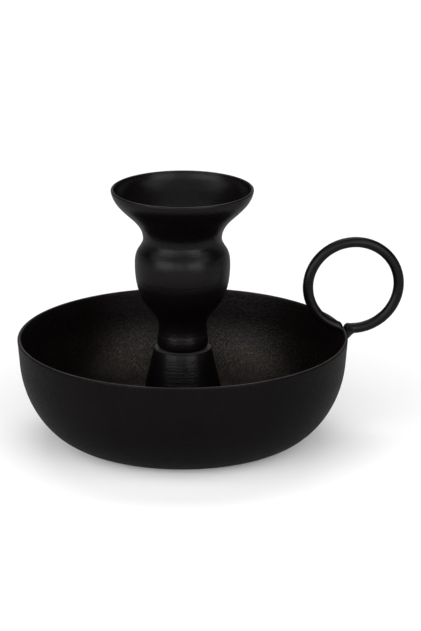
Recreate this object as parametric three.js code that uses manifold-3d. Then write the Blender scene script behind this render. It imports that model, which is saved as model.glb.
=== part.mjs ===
import * as THREE from 'three';
import { mergeVertices } from 'three/addons/utils/BufferGeometryUtils.js';
import Module from 'manifold-3d';

// Candle holder with handle: a spun bowl, a cone pedestal, a two-shell candle socket and a ring handle.
// Millimetres, +Z up. The origin is the centre of the bowl's base, and the handle points along +X.

const wasm = await Module();
wasm.setup();

// Bowl
const bowlRimRadius = 56;
const bowlHeight = 35;
const bowlBaseRadius = 34;
const bowlBellyTop = 26;
const bowlSheet = 1.2;

// Pedestal cone
const coneHeight = 29.9;
const coneTopRadius = 9.7;
const coneFootRadius = 16.5;
const coneTopCorner = 0.5;
const coneSheet = 1;

// Candle socket, heights above its own floor
const dishRimRadius = 24;
const dishRimHeight = 55.5;
const neckRadius = 13.3;
const neckHeight = 38.3;
const seamRadius = 14.45;
const seamHeight = 35.3;
const seamGroove = 0.25;
const bulbRadius = 16.1;
const bulbHeight = 29.5;
const waistRadius = 8.1;
const waistHeight = 7;
const footRadius = 8.6;
const footCorner = 0.5;
const socketSheet = 1;

// Ring handle and its welds
const ringRadius = 15.65;
const ringOverhang = 2.6;
const rodRadius = 1.8;
const rodDrop = 0.4;
const weldLeg = 2.6;
const weldGap = 0.3;
const innerEndBevel = 1.5;

// Clamp screw, washer and nut
const screwRadius = 2.5;
const screwLength = 10;
const screwTip = 0.75;
const screwHeadRadius = 4.6;
const screwHeadHeight = 3;
const screwHeadRim = 1.2;
const recessWidth = 1.1;
const recessSpan = 4.4;
const recessDepth = 1.7;
const screwClearance = 0.3;
const washerRadius = 5.2;
const washerThickness = 1;
const nutAcrossFlats = 8;
const nutHeight = 4;

// How far each wall leans inwards going down, in degrees; the seam's leans outwards
const bowlTaper = 4.9;
const dishRimTaper = 8;
const seamFlare = 30;

// How far each end of a wall's curve holds its direction, as a share of its own way
const bellyPull = { top: 0.5, base: 0.5 };
const dishPull = { rim: 0.38, neck: 0.44 };
const collarPull = { neck: 0.36, seam: 0.43 };
const shoulderPull = { seam: 0.22, bulb: 0.67 };
const bulbPull = { bulb: 0.72, waist: 0.34 };
const footPull = { waist: 0.4, foot: 0.5 };

// Facets round the turned pieces, and steps along their outlines
const bowlFacets = 72;
const socketFacets = 48;
const coneFacets = 40;
const rodFacets = 12;
const ringSteps = 48;
const hardwareFacets = 24;
const edgeSteps = 4;
const cornerSteps = 3;
const weldSteps = 4;

// Heights and radii worked out from the sizes above
const coneTopHeight = bowlSheet + coneHeight;
const socketFloorTop = coneTopHeight + socketSheet;
const screwHoleRadius = screwRadius + screwClearance;

const blackCoat = { color: 0x0b0b0c, roughness: 0.62, metalness: 0.1 };
const zincPlate = { color: 0xb4b6ba, roughness: 0.35, metalness: 0.9 };

// A place on an outline: its radius, its height, and how far the wall leans outwards going down
function station(radius, height, lean) {
  const angle = THREE.MathUtils.degToRad(lean);
  return {
    point: new THREE.Vector2(radius, height),
    heading: new THREE.Vector2(Math.sin(angle), -Math.cos(angle)),
  };
}

// The station where a rounded edge starts, so that the edge's top comes to the given height
function edgeStation(radius, topHeight, lean, sheet) {
  const angle = THREE.MathUtils.degToRad(lean);
  return station(radius, topHeight - (sheet / 2) * (Math.cos(angle) - Math.sin(angle)), lean);
}

// A smooth stretch of wall between two stations
function bend(from, to, fromPull, toPull) {
  const span = to.point.clone().sub(from.point);
  const fromHold = fromPull * Math.abs(span.dot(from.heading));
  const toHold = toPull * Math.abs(span.dot(to.heading));
  const afterStart = from.point.clone().addScaledVector(from.heading, fromHold);
  const beforeEnd = to.point.clone().addScaledVector(to.heading, -toHold);
  return new THREE.CubicBezierCurve(from.point, afterStart, beforeEnd, to.point);
}

function straight(from, to) {
  return new THREE.LineCurve(from, to);
}

// The outline of a sheet of even thickness, under a run of curves that goes down its outside.
// Its first edge is round. The result goes up the outside and down the inside.
function sheetProfile(run, sheet) {
  const outside = [];
  const inside = [];
  const edge = [];
  for (const { curve, steps } of run) {
    for (let i = outside.length ? 1 : 0; i <= steps; i += 1) {
      const point = curve.getPoint(i / steps);
      const tangent = curve.getTangent(i / steps);
      const outward = new THREE.Vector2(-tangent.y, tangent.x);
      if (!outside.length) {
        edge.push(...roundEdge(point, tangent, outward, sheet));
      }
      outside.push(point);
      inside.push(point.clone().addScaledVector(outward, -sheet));
    }
  }
  return [...outside.reverse(), ...edge, ...inside];
}

// The points of a half-round edge, from the outside over the top to the inside
function roundEdge(point, tangent, outward, sheet) {
  const middle = point.clone().addScaledVector(outward, -sheet / 2);
  const points = [];
  for (let k = 1; k < edgeSteps; k += 1) {
    const angle = (Math.PI * k) / edgeSteps;
    const across = middle.clone().addScaledVector(outward, (sheet / 2) * Math.cos(angle));
    points.push(across.addScaledVector(tangent, (-sheet / 2) * Math.sin(angle)));
  }
  return points;
}

// Turns a profile about the Z axis; one that keeps off the axis is closed on itself
function turned(profile, facets) {
  const points = [...profile];
  if (points[0].x > 0) {
    points.push(points[0].clone());
  }
  return new THREE.LatheGeometry(points, facets).rotateX(Math.PI / 2);
}

function toSolid(geometry) {
  const bare = geometry.clone();
  bare.deleteAttribute('normal');
  bare.deleteAttribute('uv');
  const merged = mergeVertices(bare, 1e-5);
  const vertProperties = Float32Array.from(merged.attributes.position.array);
  const triVerts = Uint32Array.from(merged.index.array);
  return new wasm.Manifold(new wasm.Mesh({ numProp: 3, vertProperties, triVerts }));
}

function toGeometry(solid) {
  const mesh = solid.getMesh();
  const geometry = new THREE.BufferGeometry();
  geometry.setAttribute('position', new THREE.BufferAttribute(Float32Array.from(mesh.vertProperties), 3));
  geometry.setIndex(new THREE.BufferAttribute(Uint32Array.from(mesh.triVerts), 1));
  geometry.computeVertexNormals();
  return geometry;
}

function piece(name, geometry, coat) {
  const mesh = new THREE.Mesh(geometry, new THREE.MeshStandardMaterial(coat));
  mesh.name = name;
  return mesh;
}

const bowlEdge = edgeStation(bowlRimRadius, bowlHeight, -bowlTaper, bowlSheet);

// Outside radius of the bowl's wall at a height on its straight, tapered stretch
function wallRadius(height) {
  const slope = Math.tan(THREE.MathUtils.degToRad(bowlTaper));
  return bowlRimRadius - (bowlEdge.point.y - height) * slope;
}

// Bowl: a straight tapered wall, one long belly curve and a flat base
function bowlGeometry() {
  const bellyTop = station(wallRadius(bowlBellyTop), bowlBellyTop, -bowlTaper);
  const base = station(bowlBaseRadius, 0, -90);
  const profile = sheetProfile([
    { curve: straight(bowlEdge.point, bellyTop.point), steps: 1 },
    { curve: bend(bellyTop, base, bellyPull.top, bellyPull.base), steps: 9 },
    { curve: straight(base.point, new THREE.Vector2(0, 0)), steps: 1 },
  ], bowlSheet);
  return turned(profile, bowlFacets);
}

// Pedestal cone: open at the foot, with a flat top that the socket stands on and a hole for the screw
function coneGeometry() {
  const slope = (coneFootRadius - coneTopRadius) / coneHeight;
  const levelSheet = coneSheet * Math.hypot(1, slope);
  const underTop = coneHeight - coneSheet;
  const corner = new THREE.QuadraticBezierCurve(
    new THREE.Vector2(coneTopRadius + coneTopCorner * slope, coneHeight - coneTopCorner),
    new THREE.Vector2(coneTopRadius, coneHeight),
    new THREE.Vector2(coneTopRadius - coneTopCorner, coneHeight),
  );
  const profile = [
    new THREE.Vector2(coneFootRadius - levelSheet, 0),
    new THREE.Vector2(coneFootRadius, 0),
    ...corner.getPoints(cornerSteps),
    new THREE.Vector2(screwHoleRadius, coneHeight),
    new THREE.Vector2(screwHoleRadius, underTop),
    new THREE.Vector2(coneTopRadius - levelSheet + coneSheet * slope, underTop),
  ];
  return turned(profile, coneFacets).translate(0, 0, bowlSheet);
}

// The whole candle socket as one wall, from the dish's edge to the screw hole in its floor
function socketProfile() {
  const edge = edgeStation(dishRimRadius, dishRimHeight, -dishRimTaper, socketSheet);
  const neck = station(neckRadius, neckHeight, 0);
  const seam = station(seamRadius, seamHeight, seamFlare);
  const bulb = station(bulbRadius, bulbHeight, 0);
  const waist = station(waistRadius, waistHeight, 0);
  const corner = footCorner + socketSheet;
  const foot = station(footRadius, corner, 0);
  const floorEdge = new THREE.Vector2(footRadius - corner, 0);
  const turnIn = new THREE.EllipseCurve(floorEdge.x, corner, corner, corner, 0, -Math.PI / 2, true);
  return sheetProfile([
    { curve: bend(edge, neck, dishPull.rim, dishPull.neck), steps: 7 },
    { curve: bend(neck, seam, collarPull.neck, collarPull.seam), steps: 2 },
    { curve: bend(seam, bulb, shoulderPull.seam, shoulderPull.bulb), steps: 3 },
    { curve: bend(bulb, waist, bulbPull.bulb, bulbPull.waist), steps: 8 },
    { curve: bend(waist, foot, footPull.waist, footPull.foot), steps: 2 },
    { curve: turnIn, steps: cornerSteps },
    { curve: straight(floorEdge, new THREE.Vector2(screwHoleRadius, 0)), steps: 1 },
  ], socketSheet);
}

// Keeps what lies above a level cut, for side 1, or below it, for side -1, and breaks its outer corner
function cutLevel(profile, height, side) {
  const kept = [];
  profile.forEach((point, i) => {
    const next = profile[(i + 1) % profile.length];
    const here = side * (point.y - height);
    const there = side * (next.y - height);
    if (here > 0) {
      kept.push(point);
    }
    if (here > 0 !== there > 0) {
      kept.push(new THREE.Vector2(THREE.MathUtils.lerp(point.x, next.x, here / (here - there)), height));
    }
  });
  const onCut = kept.filter((point) => point.y === height);
  const outer = onCut.reduce((best, point) => (point.x > best.x ? point : best));
  const index = kept.indexOf(outer);
  const neighbours = [kept.at(index - 1), kept[(index + 1) % kept.length]];
  const groove = neighbours.map((neighbour) => {
    const along = neighbour.clone().sub(outer).normalize();
    return outer.clone().addScaledVector(along, seamGroove);
  });
  kept.splice(index, 1, ...groove);
  return kept;
}

function dripDishGeometry() {
  return turned(cutLevel(socketProfile(), seamHeight, 1), socketFacets).translate(0, 0, coneTopHeight);
}

function socketBulbGeometry() {
  return turned(cutLevel(socketProfile(), seamHeight, -1), socketFacets).translate(0, 0, coneTopHeight);
}

// The place where the ring's centreline goes through the middle of the bowl's wall
const crossingHeight = bowlHeight - rodDrop;
const crossingRadius = wallRadius(crossingHeight) - bowlSheet / 2;
const ringCentreRadius = bowlRimRadius + ringOverhang;
const crossingAngle = Math.asin((ringCentreRadius - crossingRadius) / ringRadius);
const ringCentreHeight = crossingHeight + ringRadius * Math.cos(crossingAngle);

// The slot that lets the bowl's wall through the ring; above the rim it leans back over the inner end
function wallSlotGeometry() {
  const low = crossingHeight - rodRadius - 2 * weldLeg;
  const high = crossingHeight + 2 * rodRadius;
  const outer = (height) => wallRadius(height) + weldGap;
  const inner = (height) => wallRadius(height) - bowlSheet - weldGap;
  const bevel = innerEndBevel * ((high - crossingHeight) / rodRadius);
  return turned([
    new THREE.Vector2(inner(low), low),
    new THREE.Vector2(outer(low), low),
    new THREE.Vector2(outer(high), high),
    new THREE.Vector2(inner(high) - bevel, high),
    new THREE.Vector2(inner(crossingHeight), crossingHeight),
  ], bowlFacets);
}

// The weld under the outer end: a horn that flares towards the wall and stays level with the rod's top
function weldHornGeometry() {
  const buried = bowlSheet / 2;
  const flare = (along) => {
    const left = 1 - THREE.MathUtils.clamp(along / weldLeg, 0, 1);
    return (weldLeg / 2) * (1 - Math.sqrt(1 - left * left));
  };
  const skin = [new THREE.Vector2(rodRadius + flare(0), -buried)];
  for (let k = 1; k < weldSteps; k += 1) {
    const along = weldLeg * (k / weldSteps) ** 2;
    skin.push(new THREE.Vector2(rodRadius + flare(along), along));
  }
  const tip = new THREE.Vector2(0, weldLeg);
  const horn = new THREE.LatheGeometry([new THREE.Vector2(0, -buried), ...skin, tip], rodFacets);
  horn.rotateZ(-Math.PI / 2);
  const position = horn.attributes.position;
  for (let i = 0; i < position.count; i += 1) {
    position.setZ(i, position.getZ(i) - flare(position.getX(i)));
  }
  return horn.rotateY(crossingAngle).translate(crossingRadius + bowlSheet / 2, 0, crossingHeight);
}

// Ring handle: a rod bent to a ring, slotted over the rim, with the weld under its outer end
function ringHandleGeometry() {
  const ring = new THREE.TorusGeometry(ringRadius, rodRadius, rodFacets, ringSteps);
  ring.rotateX(Math.PI / 2).translate(ringCentreRadius, 0, ringCentreHeight);
  const rod = toSolid(ring).add(toSolid(weldHornGeometry()));
  return toGeometry(rod.subtract(toSolid(wallSlotGeometry())));
}

// Pan-head screw with a cross recess, the underside of its head at height 0
function screwGeometry() {
  const profile = [
    new THREE.Vector2(0, -screwLength),
    new THREE.Vector2(screwRadius - screwTip, -screwLength),
    new THREE.Vector2(screwRadius, screwTip - screwLength),
    new THREE.Vector2(screwRadius, 0),
    new THREE.Vector2(screwHeadRadius, 0),
  ];
  const crown = screwHeadHeight - screwHeadRim;
  for (let k = 0; k < edgeSteps; k += 1) {
    const angle = (Math.PI / 2) * (k / edgeSteps);
    const height = screwHeadRim + crown * Math.sin(angle);
    profile.push(new THREE.Vector2(screwHeadRadius * Math.cos(angle), height));
  }
  profile.push(new THREE.Vector2(0, screwHeadHeight));
  let screw = toSolid(turned(profile, hardwareFacets));
  for (const [length, width] of [[recessSpan, recessWidth], [recessWidth, recessSpan]]) {
    const arm = new THREE.BoxGeometry(length, width, 2 * recessDepth).translate(0, 0, screwHeadHeight);
    screw = screw.subtract(toSolid(arm));
  }
  return toGeometry(screw);
}

function washerGeometry() {
  return turned([
    new THREE.Vector2(screwHoleRadius, 0),
    new THREE.Vector2(washerRadius, 0),
    new THREE.Vector2(washerRadius, washerThickness),
    new THREE.Vector2(screwHoleRadius, washerThickness),
  ], hardwareFacets);
}

function nutGeometry() {
  const cornerRadius = nutAcrossFlats / 2 / Math.cos(Math.PI / 6);
  const corners = [];
  for (let k = 0; k < 6; k += 1) {
    const angle = (Math.PI / 3) * k;
    corners.push(new THREE.Vector2(cornerRadius * Math.cos(angle), cornerRadius * Math.sin(angle)));
  }
  const outline = new THREE.Shape(corners);
  outline.holes.push(new THREE.Path().absarc(0, 0, screwHoleRadius, 0, Math.PI * 2, true));
  const options = { depth: nutHeight, bevelEnabled: false, curveSegments: hardwareFacets };
  return new THREE.ExtrudeGeometry(outline, options);
}

const group = new THREE.Group();
group.add(piece('bowl', bowlGeometry(), blackCoat));
group.add(piece('pedestal_cone', coneGeometry(), blackCoat));
group.add(piece('socket_bulb', socketBulbGeometry(), blackCoat));
group.add(piece('drip_dish', dripDishGeometry(), blackCoat));
group.add(piece('ring_handle', ringHandleGeometry(), blackCoat));

const cupWasher = piece('cup_washer', washerGeometry(), zincPlate);
cupWasher.position.z = socketFloorTop;
group.add(cupWasher);

const cupScrew = piece('cup_screw', screwGeometry(), zincPlate);
cupScrew.position.z = socketFloorTop + washerThickness;
group.add(cupScrew);

const weldNut = piece('weld_nut', nutGeometry(), zincPlate);
weldNut.position.z = coneTopHeight - coneSheet - nutHeight;
group.add(weldNut);

export default group;
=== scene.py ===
import math
from contextlib import contextmanager

import bmesh
import bpy
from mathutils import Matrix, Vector, noise
from mathutils.geometry import interpolate_bezier


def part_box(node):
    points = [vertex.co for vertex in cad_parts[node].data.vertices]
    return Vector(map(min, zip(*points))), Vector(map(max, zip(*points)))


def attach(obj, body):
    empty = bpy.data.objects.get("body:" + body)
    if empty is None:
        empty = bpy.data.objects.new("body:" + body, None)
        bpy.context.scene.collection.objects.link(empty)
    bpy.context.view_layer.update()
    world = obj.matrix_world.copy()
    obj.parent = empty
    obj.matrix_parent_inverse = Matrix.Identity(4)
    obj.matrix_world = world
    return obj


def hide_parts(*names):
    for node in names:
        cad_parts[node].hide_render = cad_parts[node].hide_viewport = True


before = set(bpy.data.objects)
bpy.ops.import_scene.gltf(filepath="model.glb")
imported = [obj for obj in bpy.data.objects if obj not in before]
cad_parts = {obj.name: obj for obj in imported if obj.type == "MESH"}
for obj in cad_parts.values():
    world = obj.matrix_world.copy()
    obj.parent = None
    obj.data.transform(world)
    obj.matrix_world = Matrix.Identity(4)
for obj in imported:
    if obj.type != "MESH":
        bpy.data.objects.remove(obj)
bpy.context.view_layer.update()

bl_info = {
    "name": "Candle holder with handle",
    "version": (1, 0, 0),
    "blender": (4, 5, 0),
    "location": "3D View > Sidebar > Candle holder",
    "description": "Makes a spun black candle holder with a ring handle, and the studio it stands in",
    "category": "Object",
}

# Lengths are in metres and angles in radians. The frame's origin is the centre of the bowl's base,
# +Z is up, and the handle points along +X.

MM = 0.001

# Places and sizes that the frame gives
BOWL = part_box("bowl")[1]
CONE_FOOT, CONE_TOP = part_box("pedestal_cone")
BULB_FLOOR, BULB_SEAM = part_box("socket_bulb")
DISH_SEAM, DISH_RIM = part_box("drip_dish")
RING_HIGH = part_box("ring_handle")[1]
WASHER_LOW, WASHER_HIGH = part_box("cup_washer")
SCREW_LOW, SCREW_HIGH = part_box("cup_screw")
NUT_LOW, NUT_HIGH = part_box("weld_nut")

# The photograph's own view
PHOTO_AZIMUTH = math.radians(-8)
PHOTO_ELEVATION = math.radians(17.459)

# How near to each other two points are one: in a mesh, in a geometry tree, after a cut and on a level
SAME_POINT = 1e-7
SAME_IN_TREE = 1e-6
SAME_AFTER_CUT = 4e-6
SAME_LEVEL = 1e-9


# Sizes and looks that a user may change


def length_property(name, description, default, precision=4):
    return bpy.props.FloatProperty(
        name=name, description=description, default=default, unit="LENGTH", precision=precision)


def angle_property(name, description, degrees):
    return bpy.props.FloatProperty(
        name=name, description=description, default=math.radians(degrees), subtype="ANGLE")


def share_property(name, description, default):
    return bpy.props.FloatProperty(
        name=name, description=description, default=default, subtype="FACTOR")


def count_property(name, description, default):
    return bpy.props.IntProperty(name=name, description=description, default=default)


def colour_property(name, description, default):
    return bpy.props.FloatVectorProperty(
        name=name, description=description, default=default, subtype="COLOR", size=3)


class BowlSizes(bpy.types.PropertyGroup):
    """Sizes of the spun bowl"""

    rim_radius: length_property("Rim radius", "Outside radius of the rim", BOWL.x)
    height: length_property("Height", "Height of the rim above the table", BOWL.z)
    base_radius: length_property("Base radius", "Radius of the flat base", 34 * MM)
    belly_top: length_property(
        "Belly top", "Height where the round belly runs into the straight wall", 26 * MM)
    sheet: length_property("Sheet", "Thickness of the sheet steel", CONE_FOOT.z)
    taper: angle_property("Taper", "Lean of the straight wall, inwards going down", 4.9)
    facets: count_property("Facets", "Facets round the bowl", 288)


class ConeSizes(bpy.types.PropertyGroup):
    """Sizes of the pedestal cone"""

    foot_radius: length_property(
        "Foot radius", "Outside radius where the cone stands on the floor", CONE_TOP.x)
    top_radius: length_property("Top radius", "Outside radius of the flat top", 9.7 * MM)
    top_corner: length_property("Top corner", "Rounding of the top's edge", 0.5 * MM)
    foot_weld: length_property("Foot weld", "Leg of the coated weld round the foot", 0.7 * MM)
    sheet: length_property("Sheet", "Thickness of the sheet steel", 1 * MM)
    facets: count_property("Facets", "Facets round the cone", 160)


class SocketSizes(bpy.types.PropertyGroup):
    """Sizes of the candle socket; heights are above its own floor"""

    dish_radius: length_property("Dish radius", "Outside radius of the drip dish's rim", DISH_RIM.x)
    dish_height: length_property(
        "Dish height", "Height of the drip dish's rim", DISH_RIM.z - BULB_FLOOR.z)
    dish_taper: angle_property(
        "Dish taper", "Lean of the dish's wall at its rim, inwards going down", 8)
    neck_radius: length_property("Neck radius", "Outside radius of the neck", 13.3 * MM)
    neck_height: length_property(
        "Neck height", "Height of the neck's narrowest place", 38.3 * MM)
    seam_radius: length_property(
        "Seam radius", "Outside radius of the seam between the two shells", 14.45 * MM)
    seam_height: length_property(
        "Seam height", "Height of the seam between the two shells", DISH_SEAM.z - BULB_FLOOR.z)
    seam_flare: angle_property(
        "Seam flare", "Lean of the wall at the seam, outwards going down", 30)
    seam_groove: length_property(
        "Seam groove", "Rounding of both shells' edges along the seam", 0.3 * MM)
    bulb_radius: length_property("Bulb radius", "Largest outside radius of the bulb", BULB_SEAM.x)
    bulb_height: length_property("Bulb height", "Height of the bulb's widest place", 29.5 * MM)
    waist_radius: length_property(
        "Waist radius", "Outside radius of the waist under the bulb", 8.1 * MM)
    waist_height: length_property("Waist height", "Height of the waist", 7 * MM)
    foot_radius: length_property("Foot radius", "Outside radius of the socket's foot", 8.6 * MM)
    foot_corner: length_property(
        "Foot corner", "Inner rounding between the foot's wall and floor", 0.5 * MM)
    sheet: length_property(
        "Sheet", "Thickness of the sheet steel", WASHER_LOW.z - BULB_FLOOR.z)
    facets: count_property("Facets", "Facets round the socket", 224)


class RingSizes(bpy.types.PropertyGroup):
    """Sizes of the ring handle and its welds"""

    rod_radius: length_property("Rod radius", "Radius of the round rod", 1.8 * MM)
    rod_rise: length_property(
        "Rod rise", "How far above the rim the rod's middle crosses the wall", 0.35 * MM)
    flatness: share_property(
        "Flatness", "How much lower the bent ring is than a true circle, as a share of it", 0.025)
    weld_leg: length_property("Weld leg", "Length of the outer weld along the rod", 2.8 * MM)
    weld_depth: length_property(
        "Weld depth", "How far the outer weld runs down the wall under the rod", 3.0 * MM)
    weld_side: length_property(
        "Weld side", "How far the outer weld spreads on each side of the rod", 0.75 * MM)
    inner_leg: length_property("Inner end", "Length of the rounded inner end", 1.7 * MM)
    inner_weld: length_property("Inner weld", "Height of the small weld under it", 0.8 * MM)
    sections: count_property("Sections", "Sections along the ring", 560)
    facets: count_property("Facets", "Facets round the rod", 56)


class ClampSizes(bpy.types.PropertyGroup):
    """Sizes of the clamp screw, its washer and its nut"""

    screw_radius: length_property("Screw radius", "Radius over the screw's thread", 2.5 * MM)
    pitch: length_property("Pitch", "Pitch of the thread", 0.8 * MM)
    thread_depth: length_property("Thread depth", "Depth of the thread", 0.49 * MM, 5)
    tip_bevel: length_property("Tip bevel", "Bevel at the screw's tip", 0.75 * MM, 5)
    head_radius: length_property("Head radius", "Radius of the screw's pan head", SCREW_HIGH.x)
    head_rim: length_property("Head rim", "Height of the head's straight side", 1.2 * MM)
    head_bevel: length_property("Head bevel", "Bevel under the head", 0.2 * MM)
    recess_span: length_property(
        "Recess span", "Length of each arm of the cross recess, from tip to tip", 4.4 * MM)
    recess_width: length_property(
        "Recess width", "Width of each arm of the cross recess", 1.1 * MM)
    recess_depth: length_property("Recess depth", "Depth of the cross recess", 1.7 * MM)
    hole_radius: length_property(
        "Hole radius", "Radius of the holes that the screw passes through", 2.8 * MM)
    washer_radius: length_property("Washer radius", "Outside radius of the washer", WASHER_HIGH.x)
    washer_edge: length_property("Washer edge", "Rounding of the washer's edges", 0.15 * MM, 5)
    across_flats: length_property(
        "Across flats", "Width of the nut across its flats", 2 * NUT_HIGH.y)
    nut_bevel: length_property("Nut bevel", "Bevel into the nut's hole", 0.35 * MM, 5)


class Finishes(bpy.types.PropertyGroup):
    """Colours and surface detail of the coat and of the plated hardware"""

    coat_colour: colour_property("Coat", "Colour of the powder coat", (0.0015, 0.001, 0.0011))
    worn_colour: colour_property(
        "Worn coat", "Colour where the coat is thin and rubbed, along the edges",
        (0.03, 0.029, 0.028))
    sheen: share_property("Sheen", "Share of the coat that is closed enough to shine", 0.2)
    sheen_roughness: share_property(
        "Sheen roughness", "Roughness of the part that shines", 0.27)
    inner_sheen: share_property(
        "Inner sheen", "How much more the bowl's inside shines than its outside", 0.85)
    fleck_colour: colour_property(
        "Flecks", "Colour of the metallic flecks in the grain inside the bowl",
        (0.016, 0.01, 0.006))
    grain_size: length_property("Grain size", "Width of the coat's fine grain", 0.38 * MM, 5)
    grain_depth: length_property(
        "Grain depth", "Depth of the grain on the socket, half of the bowl's", 0.03 * MM, 5)
    peel_size: length_property("Peel size", "Width of the coat's soft waves", 2.4 * MM, 5)
    peel_depth: length_property("Peel depth", "Depth of those waves", 0.02 * MM, 5)
    cloud_size: length_property(
        "Cloud size", "Width of the coat's lighter and darker places", 18 * MM)
    ring_size: length_property(
        "Spinning rings", "Width of the rings that the spinning tool leaves", 0.9 * MM, 5)
    ring_depth: length_property(
        "Ring depth", "Depth of those rings on the socket", 0.05 * MM, 5)
    zinc_colour: colour_property("Zinc", "Colour of the plated hardware", (0.62, 0.63, 0.65))


class StageSizes(bpy.types.PropertyGroup):
    """The camera, the lamps and the floor"""

    camera_distance: length_property(
        "Camera distance", "From the camera to the point it looks at", 20 * BOWL.x, 2)
    target_right: length_property(
        "Aim right", "How far right of the bowl's axis the camera looks", 9.425 * MM, 5)
    target_height: length_property(
        "Aim height", "Height that the camera looks at", 42.095 * MM, 5)
    lens: bpy.props.FloatProperty(
        name="Lens", description="Focal length in millimetres for a 36 mm frame",
        default=188.8, unit="CAMERA")
    floor_colour: colour_property(
        "Floor", "Colour of the floor and the backdrop", (0.68, 0.68, 0.68))
    floor_lift: bpy.props.FloatProperty(
        name="Floor lift", description="Light that the floor adds for what sees it, 1 being white",
        default=0.14)
    backdrop_lift: bpy.props.FloatProperty(
        name="Backdrop lift",
        description="The same for the backdrop, which the lamps hardly reach", default=0.6)
    fill_strength: bpy.props.FloatProperty(
        name="Fill", description="Strength of the soft light from all round", default=0.06)


class CandleHolder(bpy.types.PropertyGroup):
    """All sizes and looks of the candle holder"""

    bowl: bpy.props.PointerProperty(type=BowlSizes)
    cone: bpy.props.PointerProperty(type=ConeSizes)
    socket: bpy.props.PointerProperty(type=SocketSizes)
    ring: bpy.props.PointerProperty(type=RingSizes)
    clamp: bpy.props.PointerProperty(type=ClampSizes)
    finishes: bpy.props.PointerProperty(type=Finishes)
    stage: bpy.props.PointerProperty(type=StageSizes)


# Outlines, as points (radius, height)


def station(radius, height, lean):
    """A place on an outline and the wall's heading there, going down and leaning outwards"""
    return Vector((radius, height)), Vector((math.sin(lean), -math.cos(lean)))


def edge_station(radius, top, lean, sheet):
    """The station where a rounded edge starts, so that the edge's top comes to a height"""
    return station(radius, top - sheet / 2 * (1 - math.sin(lean)), lean)


def bend(start, end, start_pull, end_pull, steps):
    """Points of a smooth stretch of wall between two stations"""
    span = end[0] - start[0]
    after_start = start[0] + start[1] * (start_pull * abs(span.dot(start[1])))
    before_end = end[0] - end[1] * (end_pull * abs(span.dot(end[1])))
    corners = [p.to_3d() for p in (start[0], after_start, before_end, end[0])]
    return [p.to_2d() for p in interpolate_bezier(*corners, steps + 1)]


def straight(start, end, steps):
    return [start.lerp(end, i / steps) for i in range(steps + 1)]


def rounded(start, corner, end, steps=8):
    """Points of an even rounding from one point to another, inside their corner"""
    shares = [k / steps for k in range(steps + 1)]
    return [start.lerp(corner, t).lerp(corner.lerp(end, t), t) for t in shares]


def quarter_turn(steps):
    """The angles of a quarter of a circle"""
    return [math.pi / 2 * k / steps for k in range(steps + 1)]


def join(*stretches):
    """One run of points from stretches that each start where the last one ends"""
    points = list(stretches[0])
    for stretch in stretches[1:]:
        points += stretch[1:]
    return points


def sheet_outline(outside, sheet, edge_steps=12):
    """Up the outside of a sheet, over its round edge and down the inside"""
    inside = []
    edge = []
    last = len(outside) - 1
    for i, point in enumerate(outside):
        tangent = (outside[min(i + 1, last)] - outside[max(i - 1, 0)]).normalized()
        outward = Vector((-tangent.y, tangent.x))
        inside.append(point - outward * sheet)
        if i == 0:
            middle = point - outward * sheet / 2
            for k in range(1, edge_steps):
                angle = math.pi * k / edge_steps
                way = outward * math.cos(angle) - tangent * math.sin(angle)
                edge.append(middle + way * sheet / 2)
    return outside[::-1] + edge + inside


def soften(outline, index, reach):
    """Rounds one corner of a closed outline"""
    corner = outline[index]
    before = outline[index - 1]
    after = outline[(index + 1) % len(outline)]
    start = corner + (before - corner).normalized() * min(reach, (before - corner).length / 2)
    end = corner + (after - corner).normalized() * min(reach, (after - corner).length / 2)
    return outline[:index] + rounded(start, corner, end, steps=5) + outline[index + 1:]


def soften_all(corners, reach):
    """Rounds every corner of a closed outline"""
    outline = list(corners)
    for index in range(len(outline) - 1, -1, -1):
        outline = soften(outline, index, reach)
    return outline


def part_level(outline, height, above):
    """The part of a closed outline above or below a level cut, and the cut's outer corner in it"""
    side = 1 if above else -1
    kept = []
    for i, point in enumerate(outline):
        after = outline[(i + 1) % len(outline)]
        here = side * (point.y - height)
        there = side * (after.y - height)
        if here > 0:
            kept.append(point)
        if (here > 0) != (there > 0):
            kept.append(point.lerp(after, here / (here - there)))
    on_cut = [i for i, point in enumerate(kept) if abs(point.y - height) < SAME_LEVEL]
    return kept, max(on_cut, key=lambda i: kept[i].x)


# Geometry Nodes trees, and nodes for them and for the materials


def feed(tree, node, **inputs):
    """Sets a node's inputs, each to a value or to another node's output"""
    for key, value in inputs.items():
        numbered = key[0] == "i" and key[1:].isdigit()
        socket = node.inputs[int(key[1:]) if numbered else key.replace("_", " ")]
        if isinstance(value, bpy.types.Node):
            value = value.outputs[0]
        if isinstance(value, bpy.types.NodeSocket):
            tree.links.new(value, socket)
        else:
            socket.default_value = value


def add_node(tree, kind, settings=None, **inputs):
    """A node with its settings and its inputs"""
    made = tree.nodes.new(kind)
    for key, value in (settings or {}).items():
        setattr(made, key, value)
    feed(tree, made, **inputs)
    return made


def math_node(tree, operation, *values):
    """The result of a math node on one, two or three values"""
    inputs = {f"i{k}": value for k, value in enumerate(values)}
    return add_node(tree, "ShaderNodeMath", {"operation": operation}, **inputs).outputs[0]


def new_tree(name, inputs):
    """A geometry tree, its named inputs' identifiers, and what these give inside it"""
    tree = bpy.data.node_groups.new(name, "GeometryNodeTree")
    tree.is_modifier = True
    for way in ("INPUT", "OUTPUT"):
        tree.interface.new_socket("Geometry", in_out=way, socket_type="NodeSocketGeometry")
    identifiers = {}
    for label, kind in inputs.items():
        socket = tree.interface.new_socket(label, in_out="INPUT", socket_type="NodeSocket" + kind)
        identifiers[label] = socket.identifier
    return tree, identifiers, tree.nodes.new("NodeGroupInput").outputs


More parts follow.
